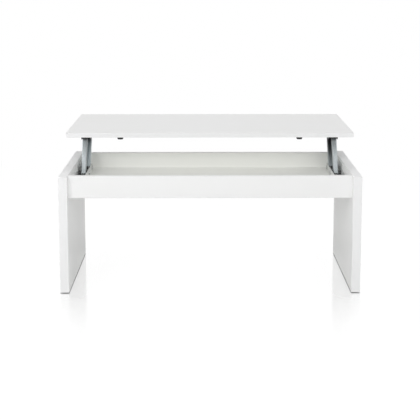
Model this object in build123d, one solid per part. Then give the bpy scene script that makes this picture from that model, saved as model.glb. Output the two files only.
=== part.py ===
"""Lift top coffee table: white board carcass, storage tray, and a top on two parallelogram lifts.

Millimetres. X runs along the table, +Y to the back, +Z up. The origin is on the floor,
at the middle of the carcass. The top is modelled raised.
"""

import os
from math import cos, radians, sin, tan

from build123d import *

# Boards
table_width = 1020.0
panel_depth = 500.0
panel_height = 400.0
panel_thickness = 30.0
board_thickness = 16.0
rail_height = 76.0
rail_setback = 20.0
tray_lift = 3.0  # tray bottom above the lower edge of the rails
top_setback = 12.0  # behind the panels' front and back edges, when down
top_thickness = 16.0
edge_radius = 1.0

# Feet and bumpers
glide_height = 3.0
glide_diameter = 22.0
glide_inset = 38.0  # from the front and back edge of a side panel
glide_stem_diameter = 6.0
glide_stem_length = 14.0
bumper_height = 8.0
bumper_diameter = 22.0
bumper_taper = 1.5
bumper_x = 318.0
bumper_bore_diameter = 4.2
bumper_recess_diameter = 9.5
bumper_recess_depth = 4.0

# Lift linkage
arm_length = 139.0  # between pivots
folded_angle = 12.6  # arm above level when the top is down
raised_lean = 29.6  # arm past upright when the top is up
pivot_spacing = 100.0  # front arm to rear arm
arm_floor_gap = 1.5  # arm's round lower end to trough floor
arm_rail_gap = 27.5  # raised rear arm to back rail, at the rim
arm_width = 17.0
arm_depth = 18.0
front_web_turn = 0.0  # web to the front
rear_web_turn = 180.0  # web to the back
sheet = 2.0  # pressed steel
bend_radius = 3.0  # outside of a bend

# Brackets
lip_height = 26.0
wall_low_height = 26.0
ear_height = 44.0
ear_reach = 22.0  # ear beyond the front pivot
ear_slope = 14.0
trough_front_reach = 26.0  # trough beyond the folded front arm's pivot
trough_rear_reach = 18.0  # trough beyond the rear pivot
trough_corner = 6.0
front_arm_gap = 11.0  # trough wall to front arm
rear_arm_gap = 3.0  # trough lip to rear arm
arm_stagger = 6.0  # front arm outwards of the rear arm, so that the stop reaches it alone
cap_arm_gap = 3.0  # top bracket to front arm
lug_radius = 10.0
lug_fillet = 7.0
tab_length = 30.0

# Pivots
pin_diameter = 8.0
pin_head_diameter = 14.0
pin_head_height = 2.5
pin_head_bevel = 0.9
rivet_diameter = 11.0
rivet_height = 1.0
barrel_diameter = 11.0
barrel_length = 7.0
collar_diameter = 15.0

# Raised stop
stop_diameter = 6.0
sleeve_diameter = 10.0
stop_overlap = 3.0  # sleeve across the front arm's flange
stop_reach = 30.0  # along the front arm from its lower pivot
stop_head_diameter = 9.0
stop_head_height = 1.2

# Screws
screw_diameter = 4.0
screw_head_diameter = 8.0
screw_head_height = 2.4
screw_head_bevel = 0.7
screw_slot_length = 4.4
screw_slot_width = 1.0
screw_slot_depth = 1.4
panel_screw_length = 18.0
floor_screw_length = 13.0
top_screw_length = 12.0
bumper_screw_length = 14.0
tab_screw_pitch = 18.0
tab_screw_inset = 13.0
panel_screw_start = 20.0  # behind the trough's front end
panel_screw_pitch = 70.0
panel_screw_height = 15.0  # above the tray
ear_screw_height = 28.0
floor_screw_start = 38.0  # behind the trough's front end
floor_screw_inset = 5.5  # from the trough's lip, clear of the cams
floor_screw_pitch = 70.0

# Dowels and cam fittings
dowel_diameter = 8.0
dowel_length = 30.0
dowel_chamfer = 0.8
dowel_in_rail = 10.0  # share of a tray dowel that sits in the rail
rail_dowel_pitch = 48.0
tray_dowel_inset = 46.0  # from the rails' inner faces
tray_bolt_inset = 84.0
tray_rail_dowel_x = 300.0
cam_distance = 24.0  # cam centre from the board's end
cam_diameter = 15.0
cam_depth = 12.5
cam_slot_length = 8.0
cam_slot_width = 1.4
cam_slot_depth = 2.2
bolt_thread_diameter = 6.0
bolt_thread_length = 11.0
bolt_neck_diameter = 4.0
bolt_head_diameter = 6.4
bolt_head_length = 3.5
bolt_neck_length = 2.5
bolt_bore_diameter = 8.0
cover_diameter = 18.0
cover_height = 1.0
cover_bevel = 0.4

# Clearances
running_fit = 0.05  # radial, pin in bush
seat_fit = 0.05  # radial, pressed or driven pieces in their holes
side_play = 0.3  # bush collar to bracket
stop_gap = 0.3  # arm to stop sleeve, and bumper to rail
cavity_gap = 0.4  # cam around the bolt's head

# Carcass places
rim_z = glide_height + panel_height
panel_inner_x = table_width / 2 - panel_thickness
panel_middle_x = table_width / 2 - panel_thickness / 2
rail_bottom_z = rim_z - rail_height
rail_middle_z = rim_z - rail_height / 2
rail_outer_y = panel_depth / 2 - rail_setback
rail_inner_y = rail_outer_y - board_thickness
rail_middle_y = rail_outer_y - board_thickness / 2
tray_under_z = rail_bottom_z + tray_lift
tray_floor_z = tray_under_z + board_thickness
tray_middle_z = tray_under_z + board_thickness / 2
glide_y = panel_depth / 2 - glide_inset
tray_dowel_y = rail_inner_y - tray_dowel_inset
tray_bolt_y = rail_inner_y - tray_bolt_inset
top_depth = panel_depth - 2 * top_setback

# Linkage places: the top moves on a circle of the arm's length and stays level
rise = arm_length * (cos(radians(raised_lean)) - sin(radians(folded_angle)))
reach = arm_length * (cos(radians(folded_angle)) + sin(radians(raised_lean)))
folded_under_z = rim_z + stop_gap + bumper_height
top_under_z = folded_under_z + rise
top_middle_y = reach
lower_pivot_z = tray_floor_z + sheet + arm_floor_gap + arm_depth / 2
pivot_drop = folded_under_z - lower_pivot_z - arm_length * sin(radians(folded_angle))
upper_pivot_z = top_under_z - pivot_drop
arm_back = arm_depth / 2 / cos(radians(raised_lean))  # behind the raised arm's pivot line, level
rear_arm_rim_y = rail_inner_y - arm_rail_gap - arm_back
rear_lower_y = rear_arm_rim_y - (rim_z - lower_pivot_z) * tan(radians(raised_lean))
front_lower_y = rear_lower_y - pivot_spacing
front_upper_y = front_lower_y + arm_length * sin(radians(raised_lean))
rear_upper_y = front_upper_y + pivot_spacing
cap_middle_y = (front_upper_y + rear_upper_y) / 2

# Places across the right-hand lift
trough_width = 2 * sheet + rear_arm_gap + arm_width + arm_stagger + front_arm_gap
lip_outer_x = panel_inner_x - trough_width
lip_inner_x = lip_outer_x + sheet
wall_inner_x = panel_inner_x - sheet
trough_middle_x = panel_inner_x - trough_width / 2
rear_arm_x = lip_inner_x + rear_arm_gap + arm_width / 2
front_arm_x = rear_arm_x + arm_stagger
cap_inner_x = front_arm_x + arm_width / 2 + cap_arm_gap
cap_outer_x = cap_inner_x + sheet
cap_width = cap_outer_x - lip_outer_x
cap_middle_x = lip_outer_x + cap_width / 2
sleeve_length = front_arm_gap + stop_overlap
floor_screw_x = lip_inner_x + floor_screw_inset

# Places along the trough
trough_front_y = front_upper_y - reach - trough_front_reach
trough_rear_y = rear_lower_y + trough_rear_reach
trough_length = trough_rear_y - trough_front_y
trough_middle_y = (trough_front_y + trough_rear_y) / 2
ear_front_y = front_lower_y - ear_reach
cap_length = pivot_spacing + 2 * lug_radius
cap_height = pivot_drop + lug_radius
tab_reach = cap_length / 2 + tab_length - tab_screw_inset

# Screw places in the trough: two towards its front, one between the pivots
first_panel_screw_y = trough_front_y + panel_screw_start
first_floor_screw_y = trough_front_y + floor_screw_start
between_pivots_y = (front_lower_y + rear_lower_y) / 2
panel_screw_places = [
    (first_panel_screw_y, tray_floor_z + panel_screw_height),
    (first_panel_screw_y + panel_screw_pitch, tray_floor_z + panel_screw_height),
    (between_pivots_y, tray_floor_z + ear_screw_height),
]
floor_screw_places = [first_floor_screw_y, first_floor_screw_y + floor_screw_pitch, between_pivots_y]


def solid_box(x0, x1, y0, y1, z0, z1):
    middle = Pos((x0 + x1) / 2, (y0 + y1) / 2, (z0 + z1) / 2)
    return middle * Box(abs(x1 - x0), abs(y1 - y0), abs(z1 - z0))


def rod_x(diameter, x0, x1, y, z):
    return Pos((x0 + x1) / 2, y, z) * Rot(0, 90, 0) * Cylinder(diameter / 2, abs(x1 - x0))


def rod_y(diameter, x, y0, y1, z):
    return Pos(x, (y0 + y1) / 2, z) * Rot(90, 0, 0) * Cylinder(diameter / 2, abs(y1 - y0))


def rod_z(diameter, x, y, z0, z1):
    return Pos(x, y, (z0 + z1) / 2) * Cylinder(diameter / 2, abs(z1 - z0))


def turned(*points):
    """A solid turned about Z from (radius, height) points."""
    return revolve(Plane.XZ * make_face(Polyline(*points, close=True)), Axis.Z)


def other_side(shape):
    return mirror(shape, about=Plane.YZ)


def save(shape, name):
    export_step(shape, f"parts/{name}.step")


def save_group(solids, name):
    save(Compound(children=list(solids)), name)


def save_pair(shape, name):
    save(shape, f"right_{name}")
    save(other_side(shape), f"left_{name}")


def save_pair_group(solids, name):
    solids = list(solids)
    save_group(solids, f"right_{name}")
    save_group([other_side(solid) for solid in solids], f"left_{name}")


# Fasteners, each with its seat at the origin and its head towards +Z
def screw(length):
    head = screw_head_diameter / 2
    shank = screw_diameter / 2
    body = turned(
        (0, -length),
        (shank, -length + screw_diameter),
        (shank, 0),
        (head, 0),
        (head, screw_head_height - screw_head_bevel),
        (head - screw_head_bevel, screw_head_height),
        (0, screw_head_height),
    )
    slot = Pos(0, 0, screw_head_height) * Box(screw_slot_length, screw_slot_width, 2 * screw_slot_depth)
    return body - slot - Rot(0, 0, 90) * slot


def dowel():
    radius = dowel_diameter / 2
    half = dowel_length / 2
    return turned(
        (0, -half),
        (radius - dowel_chamfer, -half),
        (radius, -half + dowel_chamfer),
        (radius, half - dowel_chamfer),
        (radius - dowel_chamfer, half),
        (0, half),
    )


def cam_bolt():
    """Along Z from the joint at the origin: thread up into the panel, head down into the cam."""
    thread = bolt_thread_diameter / 2
    neck = bolt_neck_diameter / 2
    head = bolt_head_diameter / 2
    head_end = -cam_distance - bolt_head_length / 2
    neck_end = head_end + bolt_head_length
    return turned(
        (0, head_end),
        (head, head_end),
        (head, neck_end),
        (neck, neck_end),
        (neck, neck_end + bolt_neck_length),
        (thread, neck_end + bolt_neck_length),
        (thread, bolt_thread_length - thread),
        (neck, bolt_thread_length),
        (0, bolt_thread_length),
    )


def cam_lock():
    """Face at the origin towards -Z, body up into the board, bolt along +X at half the board."""
    radius = cam_diameter / 2 - seat_fit
    depth = cam_depth - seat_fit
    cavity_diameter = bolt_head_diameter + 2 * cavity_gap
    cavity_end = -bolt_head_length / 2 - cavity_gap
    body = Pos(0, 0, depth / 2) * Cylinder(radius, depth)
    body -= rod_x(cavity_diameter, cavity_end, cam_diameter, 0, board_thickness / 2)
    slot = Box(cam_slot_length, cam_slot_width, 2 * cam_slot_depth)
    return body - slot - Rot(0, 0, 90) * slot


def cam_cover():
    """A cap on the board's face at the origin, domed towards -Z, with a plug in the cam's cross slot."""
    radius = cover_diameter / 2
    plug = cam_slot_width / 2 - seat_fit
    return turned(
        (0, -cover_height),
        (radius - cover_bevel, -cover_height),
        (radius, -cover_height + cover_bevel),
        (radius, 0),
        (plug, 0),
        (plug, cam_slot_depth / 2),
        (0, cam_slot_depth / 2),
    )


def hole(diameter):
    return diameter + 2 * seat_fit


# Joint places shared by the boards and their fittings
rail_dowel_z = [rail_middle_z - rail_dowel_pitch / 2, rail_middle_z + rail_dowel_pitch / 2]
rail_sides = [-1, 1]
ends = [-1, 1]
side_dowel_places = [(side * rail_middle_y, z) for side in rail_sides for z in rail_dowel_z]
side_dowel_places += [(side * tray_dowel_y, tray_middle_z) for side in rail_sides]
side_bolt_places = [(side * rail_middle_y, rail_middle_z) for side in rail_sides]
side_bolt_places += [(side * tray_bolt_y, tray_middle_z) for side in rail_sides]
tray_rail_dowel_places = [-tray_rail_dowel_x, 0.0, tray_rail_dowel_x]
cam_x = panel_inner_x - cam_distance


def rail_cam_planes(side):
    """One plane on the rail's inner face at each end, Z into the rail, X towards the panel."""
    return [
        Plane((end * cam_x, side * rail_inner_y, rail_middle_z), x_dir=(end, 0, 0), z_dir=(0, side, 0))
        for end in ends
    ]


def tray_cam_planes():
    return [
        Plane((end * cam_x, side * tray_bolt_y, tray_under_z), x_dir=(end, 0, 0), z_dir=(0, 0, 1))
        for end in ends
        for side in rail_sides
    ]


def cam_bore():
    bore = Pos(0, 0, cam_depth / 2) * Cylinder(cam_diameter / 2, cam_depth)
    return bore + rod_x(bolt_bore_diameter, 0, cam_distance, 0, board_thickness / 2)


# Boards
def side_panel():
    """The right-hand panel, with blind holes for dowels, cam bolts, screws and glides."""
    half = panel_depth / 2
    panel = solid_box(panel_inner_x, table_width / 2, -half, half, glide_height, rim_z)
    panel = fillet(panel.edges(), edge_radius)
    for y, z in side_dowel_places:
        panel -= rod_x(hole(dowel_diameter), panel_inner_x, panel_inner_x + dowel_length / 2, y, z)
    for y, z in side_bolt_places:
        panel -= rod_x(hole(bolt_thread_diameter), panel_inner_x, panel_inner_x + bolt_thread_length, y, z)
    for y, z in panel_screw_places:
        panel -= rod_x(hole(screw_diameter), panel_inner_x, wall_inner_x + panel_screw_length, y, z)
    for y in (-glide_y, glide_y):
        stem_top_z = glide_height + glide_stem_length
        panel -= rod_z(hole(glide_stem_diameter), panel_middle_x, y, glide_height, stem_top_z)
    return panel


def rail(side):
    """The front rail for side -1, the back rail for side 1."""
    board = solid_box(
        -panel_inner_x, panel_inner_x, side * rail_inner_y, side * rail_outer_y, rail_bottom_z, rim_z
    )
    board = fillet(board.edges().filter_by(Axis.X), edge_radius)
    for end in ends:
        for z in rail_dowel_z:
            inner_end = end * (panel_inner_x - dowel_length / 2)
            board -= rod_x(hole(dowel_diameter), inner_end, end * panel_inner_x, side * rail_middle_y, z)
    for plane in rail_cam_planes(side):
        board -= plane * cam_bore()
    for x in tray_rail_dowel_places:
        inner_end = side * (rail_inner_y + dowel_in_rail)
        board -= rod_y(hole(dowel_diameter), x, side * rail_inner_y, inner_end, tray_middle_z)
    return board


def tray_bottom():
    board = solid_box(
        -panel_inner_x, panel_inner_x, -rail_inner_y, rail_inner_y, tray_under_z, tray_floor_z
    )
    for end in ends:
        for side in rail_sides:
            inner_end = end * (panel_inner_x - dowel_length / 2)
            place = (side * tray_dowel_y, tray_middle_z)
            board -= rod_x(hole(dowel_diameter), inner_end, end * panel_inner_x, *place)
        for y in floor_screw_places:
            tip_z = tray_floor_z + sheet - floor_screw_length
            board -= rod_z(hole(screw_diameter), end * floor_screw_x, y, tip_z, tray_floor_z)
    for plane in tray_cam_planes():
        board -= plane * cam_bore()
    for x in tray_rail_dowel_places:
        for side in rail_sides:
            inner_end = side * (rail_inner_y - dowel_length + dowel_in_rail)
            board -= rod_y(hole(dowel_diameter), x, side * rail_inner_y, inner_end, tray_middle_z)
    return board


def table_top():
    half = table_width / 2
    front_y = top_middle_y - top_depth / 2
    back_y = top_middle_y + top_depth / 2
    board = solid_box(-half, half, front_y, back_y, top_under_z, top_under_z + top_thickness)
    board = fillet(board.edges(), edge_radius)
    for x, y in top_screw_places():
        for end in ends:
            tip_z = top_under_z - sheet + top_screw_length
            board -= rod_z(hole(screw_diameter), end * x, y, top_under_z, tip_z)
    for x, y in bumper_places():
        tip_z = top_under_z - bumper_height + bumper_recess_depth + bumper_screw_length
        board -= rod_z(hole(screw_diameter), x, y, top_under_z, tip_z)
    return board


def bumper_places():
    """Over the middle of each rail when the top is down."""
    return [
        (end * bumper_x, top_middle_y + side * rail_middle_y) for end in ends for side in rail_sides
    ]


def top_screw_places():
    return [
        (cap_middle_x + across * tab_screw_pitch / 2, cap_middle_y + along * tab_reach)
        for across in ends
        for along in ends
    ]


# Carcass fittings
def dowels():
    peg = dowel()
    for end in ends:
        for y, z in side_dowel_places:
            yield Pos(end * panel_inner_x, y, z) * Rot(0, 90, 0) * peg
    for x in tray_rail_dowel_places:
        for side in rail_sides:
            middle_y = side * (rail_inner_y + dowel_in_rail - dowel_length / 2)
            yield Pos(x, middle_y, tray_middle_z) * Rot(90, 0, 0) * peg


def cam_bolts():
    bolt = cam_bolt()
    for end in ends:
        for y, z in side_bolt_places:
            yield Pos(end * panel_inner_x, y, z) * Rot(0, end * 90, 0) * bolt


def cam_locks():
    lock = cam_lock()
    for plane in rail_cam_planes(-1) + rail_cam_planes(1) + tray_cam_planes():
        yield plane * lock


def cam_covers():
    cover = cam_cover()
    for plane in rail_cam_planes(-1) + rail_cam_planes(1):
        yield plane * cover


def floor_glides():
    """Discs with a slightly domed edge and a stem driven up into the panel."""
    radius = glide_diameter / 2
    stem = glide_stem_diameter / 2
    bevel = glide_height / 2
    glide = turned(
        (0, 0),
        (radius - bevel, 0),
        (radius, bevel),
        (radius, glide_height),
        (stem, glide_height),
        (stem, glide_height + glide_stem_length - stem),
        (stem / 2, glide_height + glide_stem_length),
        (0, glide_height + glide_stem_length),
    )
    for x in (-panel_middle_x, panel_middle_x):
        for y in (-glide_y, glide_y):
            yield Pos(x, y, 0) * glide


# Lift mechanism, right-hand side
def channel(width, height, length):
    """A pressed channel along Y: floor on Z = 0, open at the top, bends rounded inside and out."""
    outline = Pos(0, height / 2) * Rectangle(width, height)
    outline = fillet(outline.vertices().group_by(Axis.Y)[0], bend_radius)
    opening = Pos(0, sheet + height / 2) * Rectangle(width - 2 * sheet, height)
    opening = fillet(opening.vertices().group_by(Axis.Y)[0], bend_radius - sheet)
    return extrude(Plane.XZ * (outline - opening), length / 2, both=True)


def base_bracket():
    """A trough on the tray bottom, with a low lip inside and an ear for the pivots on the panel."""
    trough = Pos(trough_middle_x, trough_middle_y, tray_floor_z) * channel(
        trough_width, ear_height, trough_length
    )
    lip = Polyline(
        (trough_front_y, 0), (trough_front_y, lip_height), (trough_rear_y, lip_height), (trough_rear_y, 0),
        close=True,
    )
    wall = Polyline(
        (trough_front_y, 0),
        (trough_front_y, wall_low_height),
        (ear_front_y - ear_slope, wall_low_height),
        (ear_front_y, ear_height),
        (trough_rear_y, ear_height),
        (trough_rear_y, 0),
        close=True,
    )
    half = trough_width / 2
    side_view = Plane((trough_middle_x, 0, tray_floor_z), x_dir=(0, 1, 0), z_dir=(1, 0, 0))
    keep = extrude(side_view * rounded_top(make_face(lip)), -half)
    keep += extrude(side_view * rounded_top(make_face(wall)), half)
    bracket = trough & keep
    for y in (front_lower_y, rear_lower_y):
        bracket -= rod_x(hole(pin_diameter), lip_outer_x, panel_inner_x, y, lower_pivot_z)
    bracket -= rod_x(hole(stop_diameter), wall_inner_x, panel_inner_x, *stop_place())
    for y, z in panel_screw_places:
        bracket -= rod_x(hole(screw_diameter), wall_inner_x, panel_inner_x, y, z)
    for y in floor_screw_places:
        bracket -= rod_z(hole(screw_diameter), floor_screw_x, y, tray_floor_z, tray_floor_z + sheet)
    return bracket


def rounded_top(face):
    """Rounds every corner of a side view that isn't on its lower edge."""
    lower = face.vertices().group_by(Axis.Y)[0]
    corners = [corner for corner in face.vertices() if corner not in lower]
    return fillet(corners, trough_corner)


def stop_place():
    """Behind the raised front arm, its sleeve a small gap from the arm's flange."""
    lean = radians(raised_lean)
    behind = arm_depth / 2 + stop_gap + sleeve_diameter / 2
    y = front_lower_y + stop_reach * sin(lean) + behind * cos(lean)
    z = lower_pivot_z + stop_reach * cos(lean) - behind * sin(lean)
    return y, z


def stop_stud():
    y, z = stop_place()
    sleeve_end_x = wall_inner_x - sleeve_length
    stud = rod_x(stop_diameter, sleeve_end_x, panel_inner_x, y, z)
    return stud + rod_x(stop_head_diameter, sleeve_end_x - stop_head_height, sleeve_end_x, y, z)


def stop_sleeve():
    y, z = stop_place()
    sleeve_end_x = wall_inner_x - sleeve_length
    sleeve = rod_x(sleeve_diameter, sleeve_end_x, wall_inner_x, y, z)
    return sleeve - rod_x(hole(stop_diameter), sleeve_end_x, wall_inner_x, y, z)


def arm(middle_x, lower_y, web_turn):
    """A channel with round ends, holed at both pivots. Its web is to the front, or behind if turned."""
    profile = Rectangle(arm_width, arm_depth)
    profile = fillet(profile.vertices().group_by(Axis.Y)[0], bend_radius)
    opening = Pos(0, sheet) * Rectangle(arm_width - 2 * sheet, arm_depth)
    opening = fillet(opening.vertices().group_by(Axis.Y)[0], bend_radius - sheet)
    blank = extrude(profile - opening, arm_length + arm_depth)
    side_view = Plane.YZ * Pos(0, arm_length / 2) * SlotCenterToCenter(arm_length, arm_depth, 90)
    outline = extrude(side_view, arm_width, both=True)
    link = Pos(0, 0, -arm_depth / 2) * blank & outline
    for z in (0, arm_length):
        link -= rod_x(hole(barrel_diameter), -arm_width, arm_width, 0, z)
    return Pos(middle_x, lower_y, lower_pivot_z) * Rot(-raised_lean, 0, 0) * Rot(0, 0, web_turn) * link


def bush(face_x, bracket_x, y, z):
    """A collared bush: barrel inside the arm's flange, collar out to the bracket with side play."""
    outward = 1 if bracket_x > face_x else -1
    barrel_end_x = face_x - outward * barrel_length
    collar_end_x = bracket_x - outward * side_play
    body = rod_x(barrel_diameter, barrel_end_x, face_x, y, z)
    body += rod_x(collar_diameter, face_x, collar_end_x, y, z)
    return body - rod_x(pin_diameter + 2 * running_fit, barrel_end_x, collar_end_x, y, z)


def arm_bushes(middle_x, lower_y, upper_y):
    inner_x = middle_x - arm_width / 2
    outer_x = middle_x + arm_width / 2
    yield bush(inner_x, lip_inner_x, lower_y, lower_pivot_z)
    yield bush(outer_x, wall_inner_x, lower_y, lower_pivot_z)
    yield bush(inner_x, lip_inner_x, upper_y, upper_pivot_z)
    yield bush(outer_x, cap_inner_x, upper_y, upper_pivot_z)


def pin_with_head(end_x, y, z):
    """Along X from a bevelled head inside the lip to end_x."""
    head = pin_head_diameter / 2
    shank = pin_diameter / 2
    pin = turned(
        (0, -pin_head_height),
        (head - pin_head_bevel, -pin_head_height),
        (head, -pin_head_height + pin_head_bevel),
        (head, 0),
        (shank, 0),
        (shank, end_x - lip_outer_x),
        (0, end_x - lip_outer_x),
    )
    return Pos(lip_outer_x, y, z) * Rot(0, 90, 0) * pin


def top_pin(y):
    """An upper pivot, riveted over outside the top bracket."""
    rivet = rod_x(rivet_diameter, cap_outer_x, cap_outer_x + rivet_height, y, upper_pivot_z)
    return pin_with_head(cap_outer_x + rivet_height, y, upper_pivot_z) + rivet


def top_bracket():
    """A channel under the top with a lug at each pivot, and a flat tab at each end for screws."""
    plate_length = cap_length + 2 * tab_length
    plate_top = Plane((cap_middle_x, cap_middle_y, top_under_z))
    plate = plate_top * Pos(0, 0, -sheet) * extrude(
        RectangleRounded(cap_width, plate_length, trough_corner), sheet
    )
    cap = plate_top * Rot(180, 0, 0) * channel(cap_width, cap_height, cap_length)
    side_view = Plane((cap_middle_x, cap_middle_y, top_under_z), x_dir=(0, 1, 0), z_dir=(1, 0, 0))
    lugs = Pos(0, -pivot_drop / 2) * Rectangle(cap_length, pivot_drop)
    for along in ends:
        lugs += Pos(along * pivot_spacing / 2, -pivot_drop) * Circle(lug_radius)
    roots = [v for v in lugs.vertices() if abs(v.X) < pivot_spacing / 2 and v.Y < -pivot_drop / 2]
    keep = extrude(side_view * fillet(roots, lug_fillet), cap_width, both=True)
    bracket = (cap & keep) + plate
    for y in (front_upper_y, rear_upper_y):
        bracket -= rod_x(hole(pin_diameter), lip_outer_x, cap_outer_x, y, upper_pivot_z)
    for x, y in top_screw_places():
        bracket -= rod_z(hole(screw_diameter), x, y, top_under_z - sheet, top_under_z)
    return bracket


def panel_screws():
    for y, z in panel_screw_places:
        yield Plane((wall_inner_x, y, z), z_dir=(-1, 0, 0)) * screw(panel_screw_length)


def floor_screws():
    for y in floor_screw_places:
        yield Pos(floor_screw_x, y, tray_floor_z + sheet) * screw(floor_screw_length)


def top_screws():
    for x, y in top_screw_places():
        yield Pos(x, y, top_under_z - sheet) * Rot(180, 0, 0) * screw(top_screw_length)


# Bumpers under the top
def rubber_bumpers():
    """Tapered rubber feet, hollowed for the head of the screw that holds them."""
    root = bumper_diameter / 2
    tip = root - bumper_taper
    recess = bumper_recess_diameter / 2
    bore = bumper_bore_diameter / 2
    bumper = turned(
        (bore, 0),
        (root, 0),
        (tip, -bumper_height),
        (recess, -bumper_height),
        (recess, -bumper_height + bumper_recess_depth),
        (bore, -bumper_height + bumper_recess_depth),
    )
    for x, y in bumper_places():
        yield Pos(x, y, top_under_z) * bumper


def bumper_screws():
    seat_z = top_under_z - bumper_height + bumper_recess_depth
    for x, y in bumper_places():
        yield Pos(x, y, seat_z) * Rot(180, 0, 0) * screw(bumper_screw_length)


os.makedirs("parts", exist_ok=True)

save_pair(side_panel(), "side_panel")
save(rail(-1), "front_rail")
save(rail(1), "back_rail")
save(tray_bottom(), "tray_bottom")
save_group(dowels(), "dowels")
save_group(cam_bolts(), "cam_bolts")
save_group(cam_locks(), "cam_locks")
save_group(cam_covers(), "cam_covers")
save_group(floor_glides(), "floor_glides")

save_pair(base_bracket(), "base_bracket")
save_pair_group(panel_screws(), "base_bracket_panel_screws")
save_pair_group(floor_screws(), "base_bracket_floor_screws")
save_pair(stop_stud(), "stop_stud")
save_pair(stop_sleeve(), "stop_sleeve")
save_pair(pin_with_head(panel_inner_x, front_lower_y, lower_pivot_z), "front_base_pin")
save_pair(pin_with_head(panel_inner_x, rear_lower_y, lower_pivot_z), "rear_base_pin")
save_pair(arm(front_arm_x, front_lower_y, front_web_turn), "front_arm")
save_pair(arm(rear_arm_x, rear_lower_y, rear_web_turn), "rear_arm")
save_pair_group(arm_bushes(front_arm_x, front_lower_y, front_upper_y), "front_arm_bushes")
save_pair_group(arm_bushes(rear_arm_x, rear_lower_y, rear_upper_y), "rear_arm_bushes")

save(table_top(), "table_top")
save_pair(top_bracket(), "top_bracket")
save_pair_group(top_screws(), "top_bracket_screws")
save_pair(top_pin(front_upper_y), "front_top_pin")
save_pair(top_pin(rear_upper_y), "rear_top_pin")
save_group(rubber_bumpers(), "rubber_bumpers")
save_group(bumper_screws(), "bumper_screws")
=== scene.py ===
import math

import bpy
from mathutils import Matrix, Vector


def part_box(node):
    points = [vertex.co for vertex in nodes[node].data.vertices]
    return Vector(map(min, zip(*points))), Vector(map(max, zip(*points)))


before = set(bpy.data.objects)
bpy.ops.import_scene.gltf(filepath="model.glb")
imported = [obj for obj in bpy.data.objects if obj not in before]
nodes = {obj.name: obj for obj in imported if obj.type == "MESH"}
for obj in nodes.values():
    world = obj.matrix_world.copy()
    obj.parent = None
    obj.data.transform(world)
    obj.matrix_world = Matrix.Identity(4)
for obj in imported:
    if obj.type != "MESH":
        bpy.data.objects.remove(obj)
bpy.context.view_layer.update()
scene = bpy.context.scene
bpy.ops.object.select_all(action="DESELECT")  # the CAD nodes come in selected

rising = (0.0, 1.0)
falling = (1.0, 0.0)
noiseSpan = (0.3, 0.7)  # nearly all of a noise texture lies in here


def feed(tree, socket, value):  # a plain value, or another node's output
    if isinstance(value, bpy.types.NodeSocket):
        tree.links.new(value, socket)
    else:
        socket.default_value = value


def addNode(tree, kind, at, inputs=None, **settings):
    node = tree.nodes.new(kind)
    node.location = at
    for key, value in settings.items():
        setattr(node, key, value)
    for key, value in (inputs or {}).items():
        feed(tree, node.inputs[key], value)
    return node


def newGroup(name, vectors, numbers, outputs):
    tree = bpy.data.node_groups.new(name, "ShaderNodeTree")
    for label in vectors:
        tree.interface.new_socket(label, in_out="INPUT", socket_type="NodeSocketVector")
    for label in numbers:
        tree.interface.new_socket(label, in_out="INPUT", socket_type="NodeSocketFloat")
    for label in outputs:
        tree.interface.new_socket(label, in_out="OUTPUT", socket_type="NodeSocketFloat")
    start = addNode(tree, "NodeGroupInput", (-900, 0))
    end = addNode(tree, "NodeGroupOutput", (700, 0))
    return tree, start.outputs, end.inputs


def numberMath(tree, operation, at, *values):
    return addNode(tree, "ShaderNodeMath", at, dict(enumerate(values)), operation=operation).outputs[0]


def vectorMath(tree, operation, at, *values):
    node = addNode(tree, "ShaderNodeVectorMath", at, dict(enumerate(values)), operation=operation)
    return node.outputs["Value" if operation in ("LENGTH", "DOT_PRODUCT") else "Vector"]


def noise(tree, at, place, look):
    scale, detail, roughness = look
    inputs = {"Vector": place, "Scale": scale, "Detail": detail, "Roughness": roughness}
    return addNode(tree, "ShaderNodeTexNoise", at, inputs).outputs["Fac"]


def ranged(tree, at, value, source, target, smooth=False):
    inputs = {"Value": value, "From Min": source[0], "From Max": source[1],
              "To Min": target[0], "To Max": target[1]}
    kind = "SMOOTHSTEP" if smooth else "LINEAR"
    return addNode(tree, "ShaderNodeMapRange", at, inputs, interpolation_type=kind).outputs["Result"]


# pressed melamine: a fine pearl in the surface, and slow drifts of tone and gloss;
# a noise is given here and below as its scale, detail and roughness
pearlLook = {"fine": (1150.0, 2.0, 0.55), "drift": (2.6, 4.0, 0.5), "cloud": (17.0, 3.0, 0.6),
             "dimples": 820.0, "dimpleShare": 0.45}


def pearlGroup():
    tree, start, end = newGroup("pressedPearl", ["Place"], [], ["Height", "Tone", "Gloss"])
    place = start["Place"]
    fine = noise(tree, (-500, 260), place, pearlLook["fine"])
    dimples = addNode(tree, "ShaderNodeTexVoronoi", (-500, 0),
                      {"Vector": place, "Scale": pearlLook["dimples"]}, feature="SMOOTH_F1")
    drift = noise(tree, (-500, -260), place, pearlLook["drift"])
    cloud = noise(tree, (-500, -520), place, pearlLook["cloud"])
    dents = numberMath(tree, "MULTIPLY", (-200, 0), dimples.outputs["Distance"], pearlLook["dimpleShare"])
    feed(tree, end["Height"], numberMath(tree, "ADD", (0, 120), fine, dents))
    feed(tree, end["Tone"], ranged(tree, (0, -260), drift, noiseSpan, rising))
    feed(tree, end["Gloss"], ranged(tree, (0, -520), cloud, noiseSpan, rising))
    return tree


# edge band of a board: its own faces, the hairline where it meets the face, and the rubbed arris
bandLook = {"faceDepth": (0.0004, 0.0007), "bandWidth": 0.00115, "hairline": (0.00007, 0.0002),
            "arris": (0.0005, 0.0028)}


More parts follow.
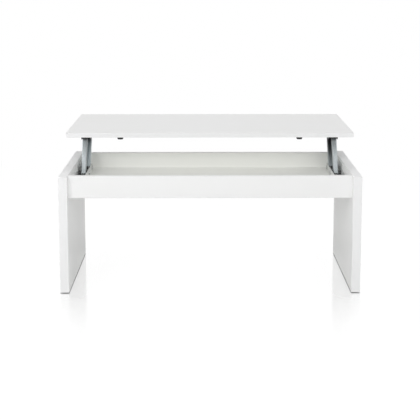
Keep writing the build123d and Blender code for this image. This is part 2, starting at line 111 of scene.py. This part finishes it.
def bandGroup():
    tree, start, end = newGroup("edgeBand", ["Place", "Middle", "Half", "Thin"], [],
                                ["Band", "Seam", "Arris"])
    offset = vectorMath(tree, "SUBTRACT", (-700, 200), start["Place"], start["Middle"])
    reach = vectorMath(tree, "ABSOLUTE", (-540, 200), offset)
    inside = vectorMath(tree, "SUBTRACT", (-380, 200), start["Half"], reach)  # depth from each face
    thin = vectorMath(tree, "DOT_PRODUCT", (-220, 320), inside, start["Thin"])
    pushed = vectorMath(tree, "ADD", (-220, 60), inside, start["Thin"])  # so the thin way is never least
    ways = addNode(tree, "ShaderNodeSeparateXYZ", (-60, 60), {0: pushed}).outputs
    least = numberMath(tree, "MINIMUM", (100, 60), ways["X"], ways["Y"])
    least = numberMath(tree, "MINIMUM", (250, 60), least, ways["Z"])
    face = ranged(tree, (100, 320), thin, bandLook["faceDepth"], falling)
    fromSeam = numberMath(tree, "SUBTRACT", (320, -60), least, bandLook["bandWidth"])
    fromSeam = numberMath(tree, "ABSOLUTE", (400, -60), fromSeam)
    hairline = ranged(tree, (400, -200), fromSeam, bandLook["hairline"], falling)
    fromArris = numberMath(tree, "ADD", (320, 440), thin, least)
    feed(tree, end["Seam"], numberMath(tree, "MULTIPLY", (560, -60), hairline, face))
    feed(tree, end["Band"], numberMath(tree, "SUBTRACT", (560, 200), 1.0, face))
    feed(tree, end["Arris"], ranged(tree, (480, 440), fromArris, bandLook["arris"], falling, smooth=True))
    return tree


# powder coat on pressed steel: orange peel, flecks of the silver pigment, slow tone
powderLook = {"peel": (950.0, 1.5, 0.5), "tone": (42.0, 4.0, 0.55), "flecks": 3400.0,
              "fleckShare": (0.55, 1.0), "metallic": 0.35, "roughness": (0.42, 0.52),
              "peelDepth": 0.00003, "bump": 0.6}


def powderGroup():
    tree, start, end = newGroup("powderCoat", ["Place"], [], ["Height", "Fleck", "Tone"])
    place = start["Place"]
    peel = noise(tree, (-500, 200), place, powderLook["peel"])
    flecks = addNode(tree, "ShaderNodeTexVoronoi", (-500, -60),
                     {"Vector": place, "Scale": powderLook["flecks"]}, feature="F1").outputs["Color"]
    pigment = addNode(tree, "ShaderNodeSeparateColor", (-250, -60), {0: flecks}).outputs[0]
    tone = noise(tree, (-500, -320), place, powderLook["tone"])
    feed(tree, end["Height"], peel)
    feed(tree, end["Fleck"], ranged(tree, (0, -60), pigment, powderLook["fleckShare"], rising))
    feed(tree, end["Tone"], ranged(tree, (0, -320), tone, noiseSpan, rising))
    return tree


# a bright ring rubbed into a link round its pivots, and painted shade spreading patchily out from the high
# one
rubAndShadeLook = {"ring": (0.0068, 0.0084), "scratches": (900.0, 2.0, 0.5), "scratchSpan": (0.42, 0.58),
           "leastRub": 0.25, "shadeFrom": 0.011, "shadePatchSpan": (0.35, 0.65), "leastShadePatch": 0.90}


def rubAndShadeGroup():
    tree, start, end = newGroup("pivotRubAndShade", ["Place", "Low pivot", "High pivot"], ["Shade reach"],
                                ["Rub", "Painted shade"])
    away = {}
    ring = {}
    for row, pivot in enumerate(("Low pivot", "High pivot")):
        offset = vectorMath(tree, "SUBTRACT", (-600, -220 * row), start["Place"], start[pivot])
        flat = vectorMath(tree, "MULTIPLY", (-420, -220 * row), offset, (0.0, 1.0, 1.0))  # pivots run along X
        away[pivot] = vectorMath(tree, "LENGTH", (-240, -220 * row), flat)
        ring[pivot] = ranged(tree, (-60, -220 * row), away[pivot], rubAndShadeLook["ring"], falling, smooth=True)
    rings = numberMath(tree, "MAXIMUM", (120, -80), ring["Low pivot"], ring["High pivot"])
    scratches = noise(tree, (-240, -460), start["Place"], rubAndShadeLook["scratches"])
    patchy = ranged(tree, (120, -460), scratches, rubAndShadeLook["scratchSpan"], (rubAndShadeLook["leastRub"], 1.0))
    shadeReach = (rubAndShadeLook["shadeFrom"], start["Shade reach"])
    # painted shade, darkest at the high pivot and fading out to the shade reach
    pivotShade = ranged(tree, (120, 140), away["High pivot"], shadeReach, falling, smooth=True)
    shadePatch = ranged(tree, (120, -640), scratches, rubAndShadeLook["shadePatchSpan"], (rubAndShadeLook["leastShadePatch"], 1.0))
    feed(tree, end["Rub"], numberMath(tree, "MULTIPLY", (320, -80), rings, patchy))
    feed(tree, end["Painted shade"], numberMath(tree, "MULTIPLY", (320, 140), pivotShade, shadePatch))
    return tree


# turned and plated steel: lathe lines, close together the way that Stretch is large, and a faint bloom
platedLook = {"lines": (1.0, 3.0, 0.65), "bloom": (260.0, 3.0, 0.6), "lineDepth": 0.00002, "bump": 0.4}


def platedGroup():
    tree, start, end = newGroup("platedSteel", ["Place", "Stretch"], [], ["Height", "Bloom"])
    stretched = vectorMath(tree, "MULTIPLY", (-600, 160), start["Place"], start["Stretch"])
    lines = noise(tree, (-400, 160), stretched, platedLook["lines"])
    bloom = noise(tree, (-400, -160), start["Place"], platedLook["bloom"])
    feed(tree, end["Height"], lines)
    feed(tree, end["Bloom"], ranged(tree, (0, -160), bloom, noiseSpan, rising))
    return tree


pearl = pearlGroup()
edgeBand = bandGroup()
powder = powderGroup()
pivotRubAndShade = rubAndShadeGroup()
plated = platedGroup()
print("shared shader groups:", len(bpy.data.node_groups))


def newMaterial(name, metallic=0.0):
    material = bpy.data.materials.new(name)
    material.use_nodes = True
    tree = material.node_tree
    shader = tree.nodes["Principled BSDF"]
    shader.location = (500, 0)
    shader.inputs["Metallic"].default_value = metallic
    tree.nodes["Material Output"].location = (800, 0)
    place = addNode(tree, "ShaderNodeTexCoord", (-1000, 0)).outputs["Object"]
    return material, tree, shader, place


def addGroup(tree, group, at, place, inputs=None):
    return addNode(tree, "ShaderNodeGroup", at, {"Place": place, **(inputs or {})}, node_tree=group).outputs


def mixColour(tree, at, mask, first, second):
    node = addNode(tree, "ShaderNodeMix", at, {0: mask}, data_type="RGBA")  # colours are its sockets 6 and 7
    for socket, colour in zip((node.inputs[6], node.inputs[7]), (first, second)):
        feed(tree, socket, (*colour, 1.0) if isinstance(colour, tuple) else colour)
    return node.outputs[2]


def paint(tree, shader, colour, roughness):
    feed(tree, shader.inputs["Base Color"], colour)
    feed(tree, shader.inputs["Roughness"], roughness)


def bump(tree, at, height, shader, distance, strength):
    inputs = {"Height": height, "Distance": distance, "Strength": strength}
    feed(tree, shader.inputs["Normal"], addNode(tree, "ShaderNodeBump", at, inputs).outputs["Normal"])


def dress(material, *names):
    for name in names:
        for slot in nodes[name].material_slots:
            slot.material = material


# white boards; those of the tray a touch creamier, and painted lighter to lift the shade in the tray under
# the raised top
whiteBoard = {
    "face": (0.908, 0.911, 0.909), "warmer": (0.895, 0.897, 0.889), "band": (0.895, 0.897, 0.898),
    "trayFace": (0.935, 0.940, 0.908), "trayWarmer": (0.922, 0.926, 0.890), "seam": (0.62, 0.62, 0.60),
    "roughness": (0.40, 0.47), "rubbed": -0.07, "pearlDepth": 0.000022, "bump": 0.55,
    "trayBoards": ("tray_bottom", "back_rail"),
    "thinWay": {"left_side_panel": (1, 0, 0), "right_side_panel": (1, 0, 0), "front_rail": (0, 1, 0),
                "back_rail": (0, 1, 0), "tray_bottom": (0, 0, 1), "table_top": (0, 0, 1)},
}
for name, thinWay in whiteBoard["thinWay"].items():
    material, tree, shader, place = newMaterial("whiteBoard." + name)
    low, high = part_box(name)
    grain = addGroup(tree, pearl, (-700, 200), place)
    band = addGroup(tree, edgeBand, (-700, -200), place,
                    {"Middle": (low + high) / 2, "Half": (high - low) / 2, "Thin": thinWay})
    # tray boards: painted lighter than the others, for the shade in the tray
    face, warmer = ("trayFace", "trayWarmer") if name in whiteBoard["trayBoards"] else ("face", "warmer")
    colour = mixColour(tree, (-350, 300), grain["Tone"], whiteBoard[face], whiteBoard[warmer])
    colour = mixColour(tree, (-150, 300), band["Band"], colour, whiteBoard["band"])
    colour = mixColour(tree, (50, 300), band["Seam"], colour, whiteBoard["seam"])
    satin = ranged(tree, (-350, 0), grain["Gloss"], rising, whiteBoard["roughness"])
    smoother = numberMath(tree, "MULTIPLY", (-150, -60), band["Arris"], whiteBoard["rubbed"])
    paint(tree, shader, colour, numberMath(tree, "ADD", (50, 0), satin, smoother))
    bump(tree, (250, -260), grain["Height"], shader, whiteBoard["pearlDepth"], whiteBoard["bump"])
    dress(material, name)
print("boards:", len(whiteBoard["thinWay"]))

# arms and brackets in powder coat: silver arms, pale troughs, and top brackets black as painted shade under
# the top;
# shade reach is how far from the high pivot the painted shade ends, far longer on the right rear arm
links = {
    "front": {"colour": (0.455, 0.495, 0.510), "shade": (0.415, 0.455, 0.470), "fleck": (0.62, 0.66, 0.68),
              "bare": (0.56, 0.55, 0.53), "paintedShade": (0.045, 0.046, 0.048),
              "shadeReach": {"left": 0.025, "right": 0.025}},
    # rear arms: the front arms' paint made lighter, painted light against the shade in their open channels
    "rear": {"colour": (0.610, 0.665, 0.685), "shade": (0.555, 0.610, 0.630), "fleck": (0.70, 0.75, 0.77),
             "bare": (0.54, 0.53, 0.51), "paintedShade": (0.045, 0.046, 0.048),
             "shadeReach": {"left": 0.046, "right": 0.18}},
    "base": {"colour": (0.700, 0.712, 0.700), "shade": (0.660, 0.672, 0.660), "fleck": (0.78, 0.79, 0.78),
             "bare": (0.56, 0.55, 0.53), "paintedShade": (0.50, 0.50, 0.48),
             "shadeReach": {"left": 0.023, "right": 0.023}},
    # top brackets black: painted shade, standing in for the shade under the raised top
    "top": {"colour": (0.040, 0.041, 0.043), "shade": (0.032, 0.033, 0.034), "fleck": (0.075, 0.077, 0.080),
            "bare": (0.20, 0.20, 0.19), "paintedShade": (0.025, 0.025, 0.025),
            "shadeReach": {"left": 0.023, "right": 0.023}},
}


def pinMiddle(side, end, level):
    low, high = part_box(f"{side}_{end}_{level}_pin")
    return (low + high) / 2


def powderMaterial(name, look, side, lowPivot, highPivot):
    material, tree, shader, place = newMaterial(name, powderLook["metallic"])
    coat = addGroup(tree, powder, (-700, 200), place)
    rubAndShade = addGroup(tree, pivotRubAndShade, (-700, -200), place,
                   {"Low pivot": lowPivot, "High pivot": highPivot, "Shade reach": look["shadeReach"][side]})
    colour = mixColour(tree, (-350, 300), coat["Tone"], look["colour"], look["shade"])
    colour = mixColour(tree, (-200, 300), coat["Fleck"], colour, look["fleck"])
    # painted shade spreading from the high pivot
    colour = mixColour(tree, (-50, 300), rubAndShade["Painted shade"], colour, look["paintedShade"])
    colour = mixColour(tree, (50, 300), rubAndShade["Rub"], colour, look["bare"])
    paint(tree, shader, colour, ranged(tree, (50, 0), coat["Tone"], rising, powderLook["roughness"]))
    bump(tree, (250, -260), coat["Height"], shader, powderLook["peelDepth"], powderLook["bump"])
    return material


for side in ("left", "right"):
    low = {end: pinMiddle(side, end, "base") for end in ("front", "rear")}
    high = {end: pinMiddle(side, end, "top") for end in ("front", "rear")}
    for end in ("front", "rear"):
        arm = powderMaterial(f"armPaint.{side}.{end}", links[end], side, low[end], high[end])
        dress(arm, f"{side}_{end}_arm")
    for level, pivots in (("base", low), ("top", high)):  # the front pivot counts as low
        bracket = powderMaterial(f"bracketPaint.{side}.{level}", links[level], side,
                                 pivots["front"], pivots["rear"])
        dress(bracket, f"{side}_{level}_bracket")
print("arms and brackets dressed")

# plated steel
steels = {
    "pinSteel": {"colour": (0.55, 0.55, 0.56), "bloom": (0.46, 0.46, 0.47), "roughness": (0.24, 0.34),
                 "stretch": (4200.0, 90.0, 90.0)},
    "zincPlate": {"colour": (0.64, 0.64, 0.66), "bloom": (0.54, 0.55, 0.58), "roughness": (0.30, 0.42),
                  "stretch": (700.0, 700.0, 700.0)},
}


def platedMaterial(name):
    look = steels[name]
    material, tree, shader, place = newMaterial(name, metallic=1.0)
    skin = addGroup(tree, plated, (-700, 100), place, {"Stretch": look["stretch"]})
    colour = mixColour(tree, (-200, 200), skin["Bloom"], look["colour"], look["bloom"])
    paint(tree, shader, colour, ranged(tree, (-200, 0), skin["Bloom"], rising, look["roughness"]))
    bump(tree, (200, -200), skin["Height"], shader, platedLook["lineDepth"], platedLook["bump"])
    return material


pins = [name for name in nodes if name.endswith(("_pin", "stop_stud"))]
screws = [name for name in nodes if name.endswith("_screws")]
dress(platedMaterial("pinSteel"), *pins)
dress(platedMaterial("zincPlate"), *screws, "cam_bolts", "cam_locks")
print("steel:", len(pins), "pins and studs,", len(screws), "sets of screws")

# moulded plastics and rubber
mouldedLook = {"scuffs": (130.0, 5.0, 0.65), "scuffSpan": (0.4, 0.75), "bump": 0.6}
mouldings = {
    "blackNylon": {"colour": (0.030, 0.030, 0.032), "worn": (0.060, 0.060, 0.062),
                   "roughness": (0.36, 0.48), "skin": (700.0, 2.0, 0.5), "depth": 0.000015},
    "blackRubber": {"colour": (0.018, 0.018, 0.018), "worn": (0.040, 0.039, 0.038),
                    "roughness": (0.62, 0.78), "skin": (900.0, 2.0, 0.5), "depth": 0.00003},
    "greyRubber": {"colour": (0.440, 0.450, 0.450), "worn": (0.500, 0.508, 0.505),
                   "roughness": (0.60, 0.74), "skin": (900.0, 2.0, 0.5), "depth": 0.00003},
    "whitePlastic": {"colour": (0.850, 0.850, 0.846), "worn": (0.820, 0.818, 0.806),
                     "roughness": (0.34, 0.42), "skin": (600.0, 2.0, 0.5), "depth": 0.000012},
    "greyPlastic": {"colour": (0.080, 0.080, 0.080), "worn": (0.120, 0.120, 0.118),
                    "roughness": (0.45, 0.58), "skin": (600.0, 2.0, 0.5), "depth": 0.00002},
}


def mouldedMaterial(name):
    look = mouldings[name]
    material, tree, shader, place = newMaterial(name)
    skin = noise(tree, (-700, 100), place, look["skin"])
    scuffs = noise(tree, (-700, -160), place, mouldedLook["scuffs"])
    worn = ranged(tree, (-400, -160), scuffs, mouldedLook["scuffSpan"], rising)
    colour = mixColour(tree, (-100, 200), worn, look["colour"], look["worn"])
    paint(tree, shader, colour, ranged(tree, (-100, 0), worn, rising, look["roughness"]))
    bump(tree, (200, -200), skin, shader, look["depth"], mouldedLook["bump"])
    return material


bushes = [name for name in nodes if name.endswith("_bushes")]
dress(mouldedMaterial("blackNylon"), *bushes)
dress(mouldedMaterial("blackRubber"), "rubber_bumpers")
dress(mouldedMaterial("greyRubber"), "left_stop_sleeve", "right_stop_sleeve")
dress(mouldedMaterial("whitePlastic"), "cam_covers")
dress(mouldedMaterial("greyPlastic"), "floor_glides")

# beech dowels
beech = {"pale": (0.66, 0.47, 0.29), "dark": (0.46, 0.29, 0.16), "roughness": 0.6, "grain": (1.0, 4.0, 0.6),
         "stretch": (60.0, 900.0, 900.0), "streaks": (0.35, 0.7), "depth": 0.00004, "bump": 0.5}
material, tree, shader, place = newMaterial("beech")
stretched = addNode(tree, "ShaderNodeMapping", (-800, 0), {"Vector": place, "Scale": beech["stretch"]})
grain = noise(tree, (-600, 0), stretched.outputs["Vector"], beech["grain"])
streak = ranged(tree, (-300, 0), grain, beech["streaks"], rising)
paint(tree, shader, mixColour(tree, (0, 100), streak, beech["pale"], beech["dark"]), beech["roughness"])
bump(tree, (200, -200), grain, shader, beech["depth"], beech["bump"])
dress(material, "dowels")
print("small parts dressed")


def grey(level):
    return (level, level, level, 1.0)


def mixShader(tree, at, share, first, second):
    return addNode(tree, "ShaderNodeMixShader", at, {0: share, 1: first, 2: second}).outputs[0]


# 1 for the eye, reflections and glass, 0 for the light that a surface gives others
def seenRays(tree, path, at):
    rays = numberMath(tree, "MAXIMUM", at, path["Is Camera Ray"], path["Is Glossy Ray"])
    return numberMath(tree, "MAXIMUM", (at[0] + 160, at[1]), rays, path["Is Transmission Ray"])


# floor: white, with a mirror image of the panels that fades, and a painted shadow in the narrow gap under
# them;
# reflections see it plain white, but for a painted shadow of the table behind it
floorLook = {
    "size": 24.0, "white": 0.875, "shade": 0.20, "bounce": 0.85, "plainFrom": (0.9, 2.4),
    "mirror": 0.50, "fade": 0.22, "gloss": 0.09, "gapPaintedShadow": 0.15, "gapEdge": 0.002,
    "reflectedWhite": 1.0, "reflectedShadow": 0.4725, "shadowMiddle": 0.36, "shadowReach": 0.22,
}
bpy.ops.mesh.primitive_plane_add(size=floorLook["size"], location=(0, 0, 0))
floor = bpy.context.object
floor.name = "floor"
material = bpy.data.materials.new("whiteFloor")
material.use_nodes = True
tree = material.node_tree
tree.nodes.clear()
place = addNode(tree, "ShaderNodeTexCoord", (-1000, 0)).outputs["Object"]
path = addNode(tree, "ShaderNodeLightPath", (-1000, 400)).outputs

# how far a spot is from the nearest panel's foot
low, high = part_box("right_side_panel")
middle, half = (low + high) / 2, (high - low) / 2
folded = vectorMath(tree, "ABSOLUTE", (-800, 0), place)  # both panels in one
fromPanel = vectorMath(tree, "SUBTRACT", (-640, 0), folded, (middle.x, 0.0, 0.0))
fromPanel = vectorMath(tree, "ABSOLUTE", (-480, 0), fromPanel)
fromPanel = vectorMath(tree, "SUBTRACT", (-320, 0), fromPanel, (half.x, half.y, 0.0))
fromPanel = vectorMath(tree, "MAXIMUM", (-160, 0), fromPanel, (0.0, 0.0, 0.0))
far = vectorMath(tree, "LENGTH", (0, 0), fromPanel)

# white ground that takes shadows, with a painted shadow in the gap under the panels and, in reflections,
# behind the table
depth = addNode(tree, "ShaderNodeSeparateXYZ", (-800, 560), {0: place}).outputs["Y"]
fromShadow = numberMath(tree, "SUBTRACT", (-640, 560), depth, floorLook["shadowMiddle"])
fromShadow = numberMath(tree, "ABSOLUTE", (-480, 560), fromShadow)
reflected = ranged(tree, (-320, 560), fromShadow, (0.0, floorLook["shadowReach"]),
                   (floorLook["reflectedShadow"], floorLook["reflectedWhite"]), smooth=True)
white = addNode(tree, "ShaderNodeMix", (-80, 480),
                {0: path["Is Glossy Ray"], 2: floorLook["white"], 3: reflected}, data_type="FLOAT").outputs[0]
# painted shadow: the floor's glow dimmed in the narrow gap under the panels
gapShadow = ranged(tree, (0, 300), far, (0.0, floorLook["gapEdge"]), (floorLook["gapPaintedShadow"], 1.0))
strength = numberMath(tree, "MULTIPLY", (120, 400), gapShadow, white)
glow = addNode(tree, "ShaderNodeEmission", (280, 300), {"Color": grey(1.0), "Strength": strength}).outputs[0]
shade = addNode(tree, "ShaderNodeBsdfDiffuse", (280, 160), {"Color": grey(floorLook["shade"])}).outputs[0]
ground = addNode(tree, "ShaderNodeAddShader", (440, 240), {0: glow, 1: shade}).outputs[0]

# mirror image, strongest at the panels
fade = numberMath(tree, "DIVIDE", (160, 0), far, -floorLook["fade"])
fade = numberMath(tree, "EXPONENT", (280, 0), fade)
share = numberMath(tree, "MULTIPLY", (440, 0), fade, floorLook["mirror"])
mirror = addNode(tree, "ShaderNodeBsdfGlossy", (440, -160),
                 {"Color": grey(1.0), "Roughness": floorLook["gloss"]}).outputs[0]
near = mixShader(tree, (600, 120), share, ground, mirror)

# plain white further out, and a plain bounce for the light
spread = vectorMath(tree, "LENGTH", (280, 600), place)
outer = ranged(tree, (440, 600), spread, floorLook["plainFrom"], rising, smooth=True)
plain = addNode(tree, "ShaderNodeEmission", (600, 300), {"Color": grey(1.0), "Strength": 1.0}).outputs[0]
shown = mixShader(tree, (760, 120), outer, near, plain)
bounce = addNode(tree, "ShaderNodeBsdfDiffuse", (760, -120), {"Color": grey(floorLook["bounce"])}).outputs[0]
surface = mixShader(tree, (920, 0), seenRays(tree, path, (600, 460)), bounce, shown)
addNode(tree, "ShaderNodeOutputMaterial", (1080, 0), {"Surface": surface})
floor.data.materials.append(material)

# white surround: plain white to the eye and in reflections, softer as light
surround = {"light": 0.30}
world = bpy.data.worlds.new("whiteRoom")
scene.world = world
world.use_nodes = True
tree = world.node_tree
path = addNode(tree, "ShaderNodeLightPath", (-600, 0)).outputs
strength = ranged(tree, (-100, 0), seenRays(tree, path, (-400, 0)), rising, (surround["light"], 1.0))
feed(tree, tree.nodes["Background"].inputs["Strength"], strength)
feed(tree, tree.nodes["Background"].inputs["Color"], grey(1.0))

# softboxes: two wide ones across the front and a small one at its left, one at each side, one over the back
softboxes = {
    "frontHigh": {"place": (0.0, -2.65, 2.05), "size": (6.0, 1.0), "watts": 30.0},
    "frontWide": {"place": (0.0, -3.0, 1.5), "size": (6.5, 0.8), "watts": 28.3},
    "frontLeft": {"place": (-1.77, -2.52, 1.84), "size": (1.5, 1.2), "watts": 15.3},
    "sideLeft": {"place": (-3.4, 0.0, 1.0), "size": (1.2, 1.0), "watts": 24.0},
    "sideRight": {"place": (3.4, 0.0, 1.0), "size": (1.2, 1.0), "watts": 24.0},
    "back": {"place": (0.0, 1.6, 2.4), "size": (2.4, 1.2), "watts": 18.0},
}
lampAim = (0.0, 0.0, 0.4)
for name, box in softboxes.items():
    bpy.ops.object.light_add(type="AREA", location=box["place"])
    lamp = bpy.context.object
    lamp.name = name
    lamp.data.shape = "RECTANGLE"
    lamp.data.size, lamp.data.size_y = box["size"]
    lamp.data.energy = box["watts"]
    x, y, z = [end - start for start, end in zip(box["place"], lampAim)]
    lamp.rotation_euler = (math.atan2(math.hypot(x, y), -z), 0, math.atan2(-x, y))

# camera at the photograph's place
eye = {"place": (-0.0222, -3.6227, 1.0941), "down": 8.73, "right": 0.36, "lens": 88.12, "shift": -0.20,
       "sensor": 36.0, "clip": 60.0}
bpy.ops.object.camera_add(location=eye["place"],
                          rotation=(math.radians(90 - eye["down"]), 0, math.radians(-eye["right"])))
camera = bpy.context.object
camera.data.sensor_width = eye["sensor"]
camera.data.lens = eye["lens"]
camera.data.shift_y = eye["shift"]
camera.data.clip_end = eye["clip"]
scene.camera = camera
scene.view_settings.view_transform = "Standard"
print("floor, light and camera set")
